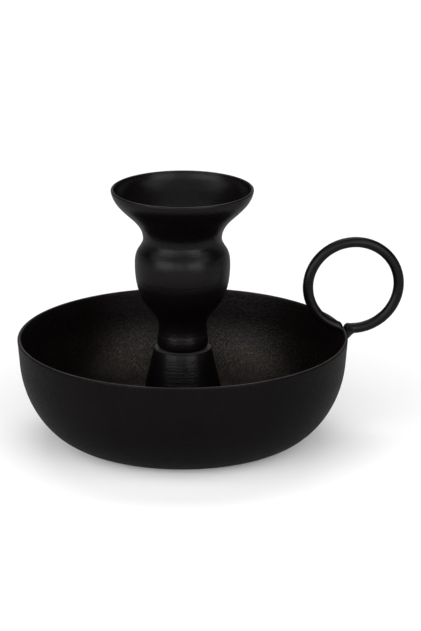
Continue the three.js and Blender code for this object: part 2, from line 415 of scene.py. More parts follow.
def end_tree(tree, geometry, material):
    """Ends a tree in realized, smooth geometry of one material"""
    smooth = add_node(tree, "GeometryNodeSetShadeSmooth", Geometry=geometry)
    real = add_node(tree, "GeometryNodeRealizeInstances", Geometry=smooth)
    dressed = add_node(tree, "GeometryNodeSetMaterial", Geometry=real, Material=material)
    add_node(tree, "NodeGroupOutput", Geometry=dressed)


def merged(tree, geometry):
    return add_node(
        tree, "GeometryNodeMergeByDistance", Geometry=geometry, Distance=SAME_IN_TREE)


def turning_tree():
    """Turns an outline, drawn as edges in the XY plane, about the Z axis"""
    tree, identifiers, given = new_tree("Turned outline", {
        "Path radius": "Float",
        "Facets": "Int",
        "Material": "Material",
    })
    outline = add_node(tree, "GeometryNodeMeshToCurve", Mesh=given["Geometry"])
    inwards = math_node(tree, "MULTIPLY", given["Path radius"], -1.0)
    shift = add_node(tree, "ShaderNodeCombineXYZ", X=inwards)
    centred = add_node(tree, "GeometryNodeTransform", Geometry=outline, Translation=shift)
    path = add_node(
        tree, "GeometryNodeCurvePrimitiveCircle", Resolution=given["Facets"],
        Radius=given["Path radius"])
    swept = add_node(tree, "GeometryNodeCurveToMesh", Curve=path, Profile_Curve=centred)
    end_tree(tree, merged(tree, swept), given["Material"])
    return tree, identifiers


def rod_tree():
    """A round rod along an arc in the XZ plane, from one angle on through a sweep"""
    tree, identifiers, given = new_tree("Bent rod", {
        "Ring radius": "Float",
        "Rod radius": "Float",
        "Start angle": "Float",
        "Sweep angle": "Float",
        "Sections": "Int",
        "Facets": "Int",
        "Centre": "Vector",
        "Material": "Material",
    })
    arc = add_node(
        tree, "GeometryNodeCurveArc", {"mode": "RADIUS"}, Resolution=given["Sections"],
        Radius=given["Ring radius"], Start_Angle=given["Start angle"],
        Sweep_Angle=given["Sweep angle"])
    circle = add_node(
        tree, "GeometryNodeCurvePrimitiveCircle", Resolution=given["Facets"],
        Radius=given["Rod radius"])
    rod = add_node(tree, "GeometryNodeCurveToMesh", Curve=arc, Profile_Curve=circle)
    placed = add_node(
        tree, "GeometryNodeTransform", Geometry=rod, Translation=given["Centre"],
        Rotation=(math.pi / 2, 0, 0))
    end_tree(tree, placed, given["Material"])
    return tree, identifiers


def thread_tree():
    """A threaded shank down the Z axis from the origin, with a flat top and a bevelled tip"""
    tree, identifiers, given = new_tree("Threaded shank", {
        "Radius": "Float",
        "Thread depth": "Float",
        "Pitch": "Float",
        "Length": "Float",
        "Tip bevel": "Float",
        "Facets": "Int",
        "Rows": "Int",
        "Material": "Material",
    })
    grid = add_node(
        tree, "GeometryNodeMeshGrid", Size_X=1.0, Size_Y=1.0, Vertices_X=given["Facets"],
        Vertices_Y=given["Rows"])
    position = add_node(tree, "GeometryNodeInputPosition")
    place = add_node(tree, "ShaderNodeSeparateXYZ", Vector=position).outputs
    around = math_node(tree, "ADD", place["X"], 0.5)
    along = math_node(tree, "ADD", place["Y"], 0.5)
    depth = math_node(tree, "MULTIPLY", along, given["Length"])

    turns = math_node(tree, "ADD", math_node(tree, "DIVIDE", depth, given["Pitch"]), around)
    flank = math_node(tree, "MULTIPLY", math_node(tree, "PINGPONG", turns, 0.5), 2.0)
    cut = math_node(tree, "MULTIPLY", flank, given["Thread depth"])
    cut_radius = math_node(tree, "SUBTRACT", given["Radius"], cut)
    tip_radius = math_node(tree, "SUBTRACT", given["Radius"], given["Tip bevel"])
    from_tip = math_node(tree, "SUBTRACT", given["Length"], depth)
    bevel_radius = math_node(tree, "ADD", tip_radius, from_tip)
    radius = math_node(tree, "MINIMUM", cut_radius, bevel_radius)

    # The first and the last row shrink to a point, which closes the shank
    under_a_row = 0.0005
    off_top = math_node(tree, "GREATER_THAN", along, under_a_row)
    off_tip = math_node(tree, "LESS_THAN", along, 1 - under_a_row)
    between = math_node(tree, "MULTIPLY", off_top, off_tip)
    closed = math_node(tree, "MULTIPLY", radius, between)

    angle = math_node(tree, "MULTIPLY", around, 2 * math.pi)
    point = add_node(
        tree, "ShaderNodeCombineXYZ",
        X=math_node(tree, "MULTIPLY", closed, math_node(tree, "COSINE", angle)),
        Y=math_node(tree, "MULTIPLY", closed, math_node(tree, "SINE", angle)),
        Z=math_node(tree, "MULTIPLY", depth, -1.0))
    shaped = add_node(tree, "GeometryNodeSetPosition", Geometry=grid, Position=point)
    end_tree(tree, merged(tree, shaped), given["Material"])
    return tree, identifiers


# Meshes


def new_object(name, mesh):
    made = bpy.data.objects.new(name, mesh)
    bpy.context.scene.collection.objects.link(made)
    return made


def evaluated_mesh(carrier):
    """The plain mesh that an object's modifiers make"""
    bpy.context.view_layer.update()
    evaluated = carrier.evaluated_get(bpy.context.evaluated_depsgraph_get())
    return bpy.data.meshes.new_from_object(evaluated)


def mesh_by_tree(name, maker, values, source=None):
    """The mesh that a geometry tree makes from its inputs' values, and a source mesh if it reads one"""
    tree, identifiers = maker()
    carrier = new_object(name + "_source", source or bpy.data.meshes.new(name + "_source"))
    modifier = carrier.modifiers.new("Shape", "NODES")
    modifier.node_group = tree
    for label, value in values.items():
        modifier[identifiers[label]] = value
    mesh = evaluated_mesh(carrier)
    mesh.name = name
    carrier.modifiers.remove(modifier)
    bpy.data.objects.remove(carrier)
    return mesh


def outline_mesh(name, outline, closed):
    """An outline's edges, drawn with its heights along -Y, which the turning tree sweeps upright"""
    mesh = bpy.data.meshes.new(name + "_outline")
    edges = [(i, i + 1) for i in range(len(outline) - 1)]
    if closed:
        edges.append((len(outline) - 1, 0))
    mesh.from_pydata([(p.x, -p.y, 0) for p in outline], edges, [])
    return mesh


def turned(name, outline, facets, material, closed=True):
    """A turned mesh; an outline that isn't closed starts and ends on the axis"""
    # The tree shifts the outline back by the path's radius, so that radius doesn't change the shape
    path_radius = 50 * MM
    mesh = mesh_by_tree(name, turning_tree, {
        "Path radius": path_radius,
        "Facets": facets,
        "Material": material,
    }, outline_mesh(name, outline, closed))
    if max(v.co.z for v in mesh.vertices) < max(p.y for p in outline) - SAME_IN_TREE:
        raise RuntimeError(f"{name} came out upside down")
    return mesh


@contextmanager
def opened(mesh):
    """A mesh opened for editing, which is written back at the end"""
    work = bmesh.new()
    work.from_mesh(mesh)
    yield work
    work.to_mesh(mesh)
    work.free()


def finish_mesh(mesh, sharp_angle=math.radians(35)):
    """Turns the faces outwards and keeps the edges that are sharper than an angle crisp"""
    with opened(mesh) as work:
        bmesh.ops.remove_doubles(work, verts=work.verts, dist=SAME_POINT)
        bmesh.ops.recalc_face_normals(work, faces=work.faces)
        for edge in work.edges:
            edge.smooth = not edge.is_manifold or edge.calc_face_angle(0) < sharp_angle
        for face in work.faces:
            face.smooth = True


def close_ends(mesh):
    """Closes a rod's two open ends with flat faces"""
    with opened(mesh) as work:
        bmesh.ops.remove_doubles(work, verts=work.verts, dist=SAME_POINT)
        open_edges = [edge for edge in work.edges if edge.is_boundary]
        bmesh.ops.holes_fill(work, edges=open_edges, sides=0)


def combined(mesh, other, operation):
    """A closed mesh with another closed mesh added to it or cut from it, without slivers"""
    made = new_object("combined", mesh)
    tool = new_object("tool", other)
    modifier = made.modifiers.new("Combine", "BOOLEAN")
    modifier.operation = operation
    modifier.solver = "EXACT"
    modifier.object = tool
    result = evaluated_mesh(made)
    bpy.data.objects.remove(made)
    bpy.data.objects.remove(tool)
    with opened(result) as work:
        bmesh.ops.remove_doubles(work, verts=work.verts, dist=SAME_AFTER_CUT)
        bmesh.ops.triangulate(work, faces=work.faces)
    return result


def lift(mesh, height):
    for vertex in mesh.vertices:
        vertex.co.z += height


def write_wear(mesh, rim=None, fade=None):
    """Writes how rubbed each point is: fully at a rim's height, and not at all a fade away from it

    A mesh without a rim is rubbed nowhere.
    """
    wear = mesh.attributes.new("wear", "FLOAT", "POINT")
    if rim is not None:
        for vertex, item in zip(mesh.vertices, wear.data):
            item.value = max(0.0, 1 - abs(rim - vertex.co.z) / fade)


def write_inner(mesh):
    """Writes which points lie inside a bowl about the Z axis: those that face the axis or up"""
    inner = mesh.attributes.new("inner", "FLOAT", "POINT")
    for vertex, item in zip(mesh.vertices, inner.data):
        outwards = Vector((vertex.co.x, vertex.co.y, 0)).normalized()
        facing = vertex.normal.z - vertex.normal.dot(outwards)
        item.value = min(1.0, max(0.0, 0.5 + facing))


def place_piece(name, mesh, node):
    """Puts a finished mesh in the scene in place of a CAD node"""
    made = new_object(name, mesh)
    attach(made, "root")
    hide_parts(node)


# Finishes


def noise_node(tree, place, size, detail, dimensions="3D"):
    """Smooth noise whose blotches are about a size across"""
    return add_node(
        tree, "ShaderNodeTexNoise", {"noise_dimensions": dimensions}, Vector=place,
        Scale=1 / size, Detail=detail, Roughness=0.55).outputs[0]


def map_node(tree, value, span, new_span=(0, 1)):
    """Maps a span of a value to another span, and stops at its ends"""
    return add_node(
        tree, "ShaderNodeMapRange", Value=value, From_Min=span[0], From_Max=span[1],
        To_Min=new_span[0], To_Max=new_span[1]).outputs[0]


def mix_node(tree, share, colour, other, blend="MIX"):
    """A share of a colour over another, or blended with it in another way"""
    return add_node(
        tree, "ShaderNodeMix", {"data_type": "RGBA", "blend_type": blend}, i0=share, i6=colour,
        i7=other).outputs[2]


def bump_node(tree, height, depth, before=None):
    """Bumps of a depth, on top of the bumps before"""
    bumps = add_node(tree, "ShaderNodeBump", Strength=1.0, Distance=depth, Height=height)
    if before:
        feed(tree, bumps, Normal=before)
    return bumps.outputs[0]


def attribute_node(tree, name):
    return add_node(tree, "ShaderNodeAttribute", {"attribute_name": name}).outputs["Fac"]


def new_material(name):
    """A material, its tree, its shader and the place on the object"""
    material = bpy.data.materials.new(name)
    material.use_nodes = True
    tree = material.node_tree
    place = add_node(tree, "ShaderNodeTexCoord").outputs["Object"]
    return material, tree, tree.nodes["Principled BSDF"], place


def coat_material(name, finishes, grain_depth, ring_depth, sheen, sheen_roughness, inner_sheen=0.0):
    """Matte black powder coat: grain, soft waves, specks, rubbed edges and the rings left by spinning

    Where a piece's inner side shines more, that side has metallic flecks too.
    """
    material, tree, shader, place = new_material(name)
    apart = add_node(tree, "ShaderNodeSeparateXYZ", Vector=place).outputs
    fine = noise_node(tree, place, finishes.grain_size, 2.0)
    coarse = noise_node(tree, place, 2 * finishes.grain_size, 1.0)
    peel = noise_node(tree, place, finishes.peel_size, 1.0)
    cloud = noise_node(tree, place, finishes.cloud_size, 3.0)
    speck_spacing = 3.2 * finishes.grain_size
    specks = add_node(tree, "ShaderNodeTexVoronoi", Vector=place, Scale=1 / speck_spacing)

    # Colour: lighter and darker clouds, light specks, and rubbed edges
    speck = map_node(tree, specks.outputs["Distance"], (0.16, 0.05))
    clouded = map_node(tree, cloud, (0.3, 0.7), (0.8, 1.25))
    tone = math_node(tree, "MULTIPLY_ADD", speck, 0.5, clouded)
    shade = add_node(tree, "ShaderNodeCombineColor", Red=tone, Green=tone, Blue=tone)
    coat = mix_node(tree, 1.0, (*finishes.coat_colour, 1), shade, "MULTIPLY")
    uneven_wear = math_node(tree, "MULTIPLY_ADD", cloud, 0.5, attribute_node(tree, "wear"))
    rubbed = map_node(tree, uneven_wear, (0.95, 1.35))
    colour = mix_node(tree, rubbed, coat, (*finishes.worn_colour, 1))

    # Gloss: more on the tops of the grain than in its hollows, and most where it is rubbed
    texture = math_node(tree, "MULTIPLY_ADD", coarse, 0.5, fine)
    roughness = map_node(tree, texture, (0.5, 1.0), (0.66, 0.5))
    skin = map_node(tree, texture, (0.55, 0.95), (0.8 * sheen, 1.2 * sheen))
    weight = math_node(tree, "MULTIPLY_ADD", rubbed, 0.5 * sheen, skin)

    # The inner side: more gloss, and flecks on the tops of the grain, which thin out going up
    if inner_sheen > 0:
        fleck_heights = (14 * MM, 26 * MM)
        fleck_gloss = 0.27
        inner = attribute_node(tree, "inner")
        gain = math_node(tree, "MULTIPLY_ADD", inner, inner_sheen, 1.0)
        weight = math_node(tree, "MULTIPLY", weight, gain)
        settled = map_node(tree, apart["Z"], fleck_heights, (1.0, 0.25))
        flecked = math_node(tree, "MULTIPLY", inner, settled)
        flecks = math_node(tree, "MULTIPLY", flecked, map_node(tree, texture, (0.77, 0.88)))
        colour = mix_node(tree, flecks, colour, (*finishes.fleck_colour, 1))
        roughness = math_node(tree, "MULTIPLY_ADD", flecks, -fleck_gloss, roughness)
        feed(tree, shader, Metallic=flecks)

    # Relief: soft waves, the grain in two sizes, and the spinning rings
    bumps = bump_node(tree, peel, finishes.peel_depth)
    bumps = bump_node(tree, coarse, 1.3 * grain_depth, bumps)
    bumps = bump_node(tree, fine, grain_depth, bumps)
    if ring_depth > 0:
        y_square = math_node(tree, "MULTIPLY", apart["Y"], apart["Y"])
        squares = math_node(tree, "MULTIPLY_ADD", apart["X"], apart["X"], y_square)
        track = add_node(
            tree, "ShaderNodeCombineXYZ", X=math_node(tree, "SQRT", squares), Y=apart["Z"])
        rings = noise_node(tree, track, finishes.ring_size, 2.0, "2D")
        bumps = bump_node(tree, rings, ring_depth, bumps)

    # The powder itself hardly reflects, and the closed share of it shines as the shader's coat
    powder_gloss = 0.01
    feed(
        tree, shader, Base_Color=colour, Roughness=roughness, Specular_IOR_Level=powder_gloss,
        Normal=bumps, Coat_Weight=weight, Coat_Roughness=sheen_roughness, Coat_Normal=bumps)
    return material


def zinc_material(name, finishes):
    """Bright zinc plate on steel: soft blotches, a fine grain and a little tarnish"""
    blotch_size = 1.7 * MM
    grain_size = 0.11 * MM
    grain_depth = 0.004 * MM
    material, tree, shader, place = new_material(name)
    blotch = noise_node(tree, place, blotch_size, 3.0)
    fine = noise_node(tree, place, grain_size, 2.0)
    tarnish = [0.5 * part for part in finishes.zinc_colour]
    colour = mix_node(tree, blotch, (*finishes.zinc_colour, 1), (*tarnish, 1))
    feed(
        tree, shader, Base_Color=colour, Metallic=1.0,
        Roughness=map_node(tree, blotch, (0.3, 0.7), (0.24, 0.42)),
        Normal=bump_node(tree, fine, grain_depth))
    return material


def shared_material(name, make, *values):
    """A material by its name, made the first time it is asked for"""
    return bpy.data.materials.get(name) or make(name, *values)


def bowl_coat(finishes):
    """The coat on the bowl: a stronger grain, rings that hardly show, and duller outside than inside"""
    return shared_material(
        "Black powder coat on the bowl", coat_material, finishes, 2 * finishes.grain_depth,
        0.3 * finishes.ring_depth, 0.45 * finishes.sheen, finishes.sheen_roughness + 0.04,
        finishes.inner_sheen)


def socket_coat(finishes):
    """The coat on the candle socket and the cone, where the rings show as faint streaks"""
    return shared_material(
        "Black powder coat on the socket", coat_material, finishes, finishes.grain_depth,
        finishes.ring_depth, finishes.sheen, finishes.sheen_roughness)


def rod_coat(finishes):
    """The coat on the ring handle, which isn't spun"""
    return shared_material(
        "Black powder coat on the rod", coat_material, finishes, finishes.grain_depth, 0.0,
        finishes.sheen, finishes.sheen_roughness)


def zinc_plate(finishes):
    return shared_material("Zinc plate", zinc_material, finishes)


# Bowl and cone


def bowl_edge(sizes):
    """The station under the bowl's rim where the rim's rounding starts"""
    return edge_station(sizes.rim_radius, sizes.height, -sizes.taper, sizes.sheet)


def wall_radius(sizes, height):
    """Outside radius of the bowl's straight wall at a height"""
    return sizes.rim_radius - (bowl_edge(sizes)[0].y - height) * math.tan(sizes.taper)


class MakeBowl(bpy.types.Operator):
    """Make the spun bowl: a straight tapered wall, a long belly curve and a flat base"""

    bl_idname = "candle_holder.make_bowl"
    bl_label = "Bowl"

    def execute(self, context):
        holder = context.scene.candle_holder
        sizes = holder.bowl
        edge = bowl_edge(sizes)
        belly_top = station(
            wall_radius(sizes, sizes.belly_top), sizes.belly_top, -sizes.taper)
        base = station(sizes.base_radius, 0, -math.pi / 2)
        outside = join(
            straight(edge[0], belly_top[0], 8),
            bend(belly_top, base, 0.5, 0.5, 48),
            straight(base[0], Vector((0, 0)), 10),
        )
        outline = sheet_outline(outside, sizes.sheet)
        coat = bowl_coat(holder.finishes)
        mesh = turned("spun_bowl", outline, sizes.facets, coat, closed=False)
        finish_mesh(mesh)
        write_wear(mesh, sizes.height, fade=0.45 * MM)
        write_inner(mesh)
        place_piece("spun_bowl", mesh, "bowl")
        return {"FINISHED"}


class MakeCone(bpy.types.Operator):
    """Make the pedestal cone with the weld round its foot"""

    bl_idname = "candle_holder.make_cone"
    bl_label = "Pedestal cone"

    def execute(self, context):
        holder = context.scene.candle_holder
        sizes = holder.cone
        hole = holder.clamp.hole_radius
        height = CONE_TOP.z - CONE_FOOT.z
        slope = (sizes.foot_radius - sizes.top_radius) / height
        level_sheet = sizes.sheet * math.hypot(1, slope)
        under_top = height - sizes.sheet
        toe = Vector((sizes.foot_radius + sizes.foot_weld, 0))
        crease = Vector((sizes.foot_radius, 0))
        heel = Vector((sizes.foot_radius - slope * sizes.foot_weld, sizes.foot_weld))
        top_start = Vector((
            sizes.top_radius + sizes.top_corner * slope, height - sizes.top_corner))
        top_edge = Vector((sizes.top_radius, height))
        top_end = Vector((sizes.top_radius - sizes.top_corner, height))
        outline = [
            Vector((sizes.foot_radius - level_sheet, 0)),
            *rounded(toe, crease, heel),
            *straight(heel, top_start, 12)[1:-1],
            *rounded(top_start, top_edge, top_end),
            Vector((hole, height)),
            Vector((hole, under_top)),
            Vector((sizes.top_radius - level_sheet + sizes.sheet * slope, under_top)),
        ]
        mesh = turned("spun_cone", outline, sizes.facets, socket_coat(holder.finishes))
        finish_mesh(mesh)
        lift(mesh, CONE_FOOT.z)
        write_wear(mesh, CONE_TOP.z, fade=0.2 * MM)
        place_piece("spun_cone", mesh, "pedestal_cone")
        return {"FINISHED"}


# Candle socket


def socket_outline(sizes, hole):
    """The whole socket as one wall, from the dish's edge to the screw hole in its floor"""
    # The drawn edge comes out a little higher than its station, because the wall curves away under it
    edge_margin = 0.02 * MM
    edge = edge_station(
        sizes.dish_radius, sizes.dish_height - edge_margin, -sizes.dish_taper, sizes.sheet)
    neck = station(sizes.neck_radius, sizes.neck_height, 0)
    seam = station(sizes.seam_radius, sizes.seam_height, sizes.seam_flare)
    bulb = station(sizes.bulb_radius, sizes.bulb_height, 0)
    waist = station(sizes.waist_radius, sizes.waist_height, 0)
    corner = sizes.foot_corner + sizes.sheet
    foot = station(sizes.foot_radius, corner, 0)
    middle = Vector((sizes.foot_radius - corner, corner))
    turn_in = [
        middle + Vector((math.cos(a), -math.sin(a))) * corner for a in quarter_turn(12)]
    outside = join(
        bend(edge, neck, 0.38, 0.44, 40),
        bend(neck, seam, 0.36, 0.43, 10),
        bend(seam, bulb, 0.22, 0.67, 14),
        bend(bulb, waist, 0.72, 0.34, 44),
        bend(waist, foot, 0.4, 0.5, 10),
        turn_in,
        straight(turn_in[-1], Vector((hole, 0)), 4),
    )
    return sheet_outline(outside, sizes.sheet)


def socket_shell(name, holder, above):
    """One of the two shells, above or below the level seam, with its outer edge rounded there"""
    sizes = holder.socket
    outline = socket_outline(sizes, holder.clamp.hole_radius)
    part, corner = part_level(outline, sizes.seam_height, above)
    part = soften(part, corner, sizes.seam_groove)
    mesh = turned(name, part, sizes.facets, socket_coat(holder.finishes))
    finish_mesh(mesh)
    lift(mesh, BULB_FLOOR.z)
    return mesh


class MakeSocket(bpy.types.Operator):
    """Make the candle socket: the bulb and the drip dish, welded along a fine seam"""

    bl_idname = "candle_holder.make_socket"
    bl_label = "Candle socket"

    def execute(self, context):
        holder = context.scene.candle_holder
        bulb = socket_shell("spun_bulb", holder, above=False)
        write_wear(bulb)
        place_piece("spun_bulb", bulb, "socket_bulb")
        dish = socket_shell("spun_dish", holder, above=True)
        write_wear(dish, DISH_RIM.z, fade=0.4 * MM)
        place_piece("spun_dish", dish, "drip_dish")
        return {"FINISHED"}


# Ring handle


def smooth_step(value, low, high):
    share = min(1.0, max(0.0, (value - low) / (high - low)))
    return share * share * (3 - 2 * share)


def weld_lump(point):
    """An even roll of small lumps, from -1 to 1, over the coated weld"""
    broad_per_metre = 900
    small_per_metre = 2600
    broad = noise.noise(point * broad_per_metre)
    small = noise.noise(point * small_per_metre)
    return broad * 0.7 + small * 0.3


class BentRod:
    """The ring's rod: a circle in the XZ plane, pressed a little flat, with an end on each side of the wall

    A place on the rod's skin has an angle along the circle, from straight down towards +X, an angle
    round the rod, which is 0 on the side of the circle's centre, and a distance from the rod's middle.
    """

    # The rounding of the square-cut outer end, the height of the weld's lumps, how deep the welds sink
    # into the wall, the gap that the square cut leaves there, and the share of the inner end's height
    # that its rounding takes off the top
    edge_round = 0.22 * MM
    lump_height = 0.09 * MM
    weld_sink = 0.05 * MM
    cut_gap = 0.2 * MM
    top_cut = 0.75

    def __init__(self, sizes, bowl):
        """The circle touches the right and the top of the frame's box, and crosses the bowl's rim"""
        self.sizes = sizes
        self.bowl = bowl
        right = RING_HIGH.x - sizes.rod_radius
        self.top = RING_HIGH.z - sizes.rod_radius
        crossing_height = bowl.height + sizes.rod_rise
        crossing_x = wall_radius(bowl, bowl.height) - bowl.sheet / 2
        across = right - crossing_x
        down = (self.top - crossing_height) / (1 - sizes.flatness)
        self.radius = across + down - math.sqrt(2 * across * down)
        self.centre = Vector((right - self.radius, self.top - self.radius))
        self.crossing_angle = math.asin((crossing_x - self.centre.x) / self.radius)
        self.half_wall = bowl.sheet / 2 / self.radius
        self.start = self.crossing_angle + self.half_wall
        self.sweep = 2 * math.pi - 2 * self.half_wall

    def flattened(self, height):
        """Where a height on the true circle comes on the slightly flattened ring"""
        return self.top - (self.top - height) * (1 - self.sizes.flatness)

    def skin_point(self, angle, around, distance):
        reach = self.radius - distance * math.cos(around)
        return Vector((
            self.centre.x + reach * math.sin(angle),
            distance * math.sin(around),
            self.centre.y - reach * math.cos(angle),
        ))

    def to_wall(self, point, depth):
        """How far in +X the bowl's wall is from a point, at a depth under the wall's outside"""
        radius = wall_radius(self.bowl, self.flattened(point.z)) - depth
        return math.sqrt(radius ** 2 - point.y ** 2) - point.x

    def shaped(self, point):
        """Where a point on the skin of the plain round rod belongs"""
        offset = Vector((point.x - self.centre.x, point.z - self.centre.y))
        turn = (math.atan2(offset.x, -offset.y) - self.crossing_angle) % (2 * math.pi)
        around = math.atan2(point.y, self.radius - offset.length)
        from_outer_end = max(0.0, turn - self.half_wall) * self.radius
        from_inner_end = max(0.0, 2 * math.pi - self.half_wall - turn) * self.radius
        if from_outer_end <= self.sizes.weld_leg:
            point = self.outer_end(from_outer_end, around)
        elif from_inner_end <= self.sizes.inner_leg:
            point = self.inner_end(from_inner_end, around)
        return Vector((point.x, point.y, self.flattened(point.z)))

    def outer_end(self, way, around):
        """The skin near the outer end, where the weld flares onto the wall under the square-cut rod

        The power of the share crowds the sections towards the wall, where the shape changes most.
        """
        sizes = self.sizes
        share = (way / sizes.weld_leg) ** 2
        flare = max(0.0, 1 - share) ** 1.2
        under = smooth_step(-math.cos(around), -0.55, 0.9)
        beside = math.sin(around) ** 2 * smooth_step(-math.cos(around), -0.8, 0.1)
        spread = sizes.weld_depth * under + sizes.weld_side * beside * (1 - under)
        distance = sizes.rod_radius + flare * spread
        edge = max(0.0, 1 - share * sizes.weld_leg / self.edge_round)
        distance -= self.edge_round * (1 - math.sqrt(1 - edge * edge)) * (1 - under)
        angle = self.start + share * sizes.weld_leg / self.radius
        lump = weld_lump(self.skin_point(angle, around, distance)) * self.lump_height
        lump *= under * math.sin(math.pi * min(1.0, share + 0.12))
        point = self.skin_point(angle, around, distance + lump)
        cut = self.skin_point(self.start, around, distance)
        sink = self.weld_sink - self.cut_gap * (1 - under)
        point.x += (self.to_wall(cut, 0.0) - sink) * (1 - share)
        return point

    def inner_end(self, way, around):
        """The skin near the inner end, which is rounded off on top and has a small weld below"""
        sizes = self.sizes
        share = (way / sizes.inner_leg) ** 1.6
        round_off = 1 - math.sqrt(max(0.0, 1 - (1 - share) ** 2))
        top = smooth_step(math.cos(around), -0.3, 1.0)
        below = smooth_step(-math.cos(around), 0.0, 1.0)
        distance = sizes.rod_radius * (1 - self.top_cut * round_off * top)
        distance += sizes.inner_weld * round_off * below
        end = self.start + self.sweep
        point = self.skin_point(end - share * sizes.inner_leg / self.radius, around, distance)
        cut = self.skin_point(end, around, distance)
        through_wall = self.bowl.sheet / math.cos(self.bowl.taper)
        point.x += (self.to_wall(cut, through_wall) + self.weld_sink) * (1 - share)
        return point


class MakeRing(bpy.types.Operator):
    """Make the ring handle: a bent rod that straddles the rim, welded outside and rounded off inside"""

    bl_idname = "candle_holder.make_ring"
    bl_label = "Ring handle"

    def execute(self, context):
        holder = context.scene.candle_holder
        sizes = holder.ring
        rod = BentRod(sizes, holder.bowl)
        mesh = mesh_by_tree("bent_ring", rod_tree, {
            "Ring radius": rod.radius,
            "Rod radius": sizes.rod_radius,
            "Start angle": rod.start - math.pi / 2,
            "Sweep angle": rod.sweep,
            "Sections": sizes.sections,
            "Facets": sizes.facets,
            "Centre": (rod.centre.x, 0, rod.centre.y),
            "Material": rod_coat(holder.finishes),
        })
        for vertex in mesh.vertices:
            vertex.co = rod.shaped(vertex.co)
        close_ends(mesh)
        finish_mesh(mesh)
        write_wear(mesh)
        place_piece("bent_ring", mesh, "ring_handle")
        return {"FINISHED"}


# Clamp screw, washer and nut


def recess_arm(sizes, top, quarter):
    """One arm of the cutter for the cross recess, narrower and shorter at its bottom"""
    above_top = 0.3 * MM
    mesh = bpy.data.meshes.new("recess_arm")
    with opened(mesh) as work:
        bmesh.ops.create_cube(work, size=1)
        for vertex in work.verts:
            low = vertex.co.z < 0
            vertex.co.x *= sizes.recess_span * (0.55 if low else 1.15)
            vertex.co.y *= sizes.recess_width * (0.8 if low else 1.03)
            vertex.co.z = top - sizes.recess_depth if low else top + above_top
            if quarter:
                vertex.co.x, vertex.co.y = -vertex.co.y, vertex.co.x
        bmesh.ops.recalc_face_normals(work, faces=work.faces)
    return mesh


def screw_head(sizes, height, material):
    """A pan head on the origin, with a cross recess"""
    facets = 96
    crown = height - sizes.head_rim
    dome = [
        Vector((sizes.head_radius * math.cos(a), sizes.head_rim + crown * math.sin(a)))
        for a in quarter_turn(16)]
    dome[-1].x = 0
    under = [
        Vector((0, 0)),
        Vector((sizes.head_radius - sizes.head_bevel, 0)),
        Vector((sizes.head_radius, sizes.head_bevel)),
    ]
    head = turned("clamp_head", under + dome, facets, material, closed=False)
    finish_mesh(head)
    for quarter in (0, 1):
        head = combined(head, recess_arm(sizes, height, quarter), "DIFFERENCE")
    return head


def make_screw(sizes, material):
    """A pan-head screw whose threaded shank runs a little way up into the head"""
    seat = WASHER_HIGH.z
    head = screw_head(sizes, SCREW_HIGH.z - seat, material)
    overlap = 0.4 * MM
    shank = mesh_by_tree("clamp_shank", thread_tree, {
        "Radius": sizes.screw_radius,
        "Thread depth": sizes.thread_depth,
        "Pitch": sizes.pitch,
        "Length": seat - SCREW_LOW.z + overlap,
        "Tip bevel": sizes.tip_bevel,
        "Facets": 49,
        "Rows": 161,
        "Material": material,
    })
    finish_mesh(shank)
    lift(shank, overlap)
    mesh = combined(head, shank, "UNION")
    mesh.materials.clear()
    mesh.materials.append(material)
    finish_mesh(mesh)
    lift(mesh, seat)
    place_piece("clamp_screw", mesh, "cup_screw")


def make_washer(sizes, material):
    """A stamped washer with rounded edges"""
    facets = 128
    thickness = WASHER_HIGH.z - WASHER_LOW.z
    outline = soften_all([
        Vector((sizes.hole_radius, 0)),
        Vector((sizes.washer_radius, 0)),
        Vector((sizes.washer_radius, thickness)),
        Vector((sizes.hole_radius, thickness)),
    ], sizes.washer_edge)
    mesh = turned("clamp_washer", outline, facets, material)
    finish_mesh(mesh)
    lift(mesh, WASHER_LOW.z)
    place_piece("clamp_washer", mesh, "cup_washer")


def nut_section(sizes, height, angle):
    """The nut's outline (radius, height) at an angle from one of its corners"""
    face_share = 0.96
    bevel_lean = math.radians(30)
    apothem = sizes.across_flats / 2
    face_radius = face_share * apothem
    mouth_radius = sizes.hole_radius + sizes.nut_bevel
    half_flat = math.pi / 6
    off_corner = (angle + half_flat) % (2 * half_flat) - half_flat
    side = apothem / math.cos(off_corner - math.copysign(half_flat, off_corner))
    drop = (side - face_radius) * math.tan(bevel_lean)
    return [
        (sizes.hole_radius, sizes.nut_bevel), (mouth_radius, 0), (face_radius, 0),
        (side, drop), (side, height - drop),
        (face_radius, height), (mouth_radius, height), (sizes.hole_radius, height - sizes.nut_bevel),
    ]


def make_nut(sizes, material):
    """A hexagon nut, bevelled round both faces and into its hole"""
    height = NUT_HIGH.z - NUT_LOW.z
    facets = 96
    points = []
    faces = []
    for k in range(facets):
        angle = 2 * math.pi * k / facets
        section = nut_section(sizes, height, angle)
        count = len(section)
        points += [(r * math.cos(angle), r * math.sin(angle), z) for r, z in section]
        here = k * count
        there = (k + 1) % facets * count
        for i in range(count):
            following = (i + 1) % count
            faces.append((here + i, there + i, there + following, here + following))
    mesh = bpy.data.meshes.new("clamp_nut")
    mesh.from_pydata(points, [], faces)
    mesh.materials.append(material)
    finish_mesh(mesh, sharp_angle=math.radians(15))
    lift(mesh, NUT_LOW.z)
    place_piece("clamp_nut", mesh, "weld_nut")


class MakeClamp(bpy.types.Operator):
    """Make the zinc-plated screw, washer and nut that clamp the socket on the cone"""

    bl_idname = "candle_holder.make_clamp"
    bl_label = "Screw, washer and nut"

    def execute(self, context):
        holder = context.scene.candle_holder
        material = zinc_plate(holder.finishes)
        for make in (make_screw, make_washer, make_nut):
            make(holder.clamp, material)
        return {"FINISHED"}


# Stage

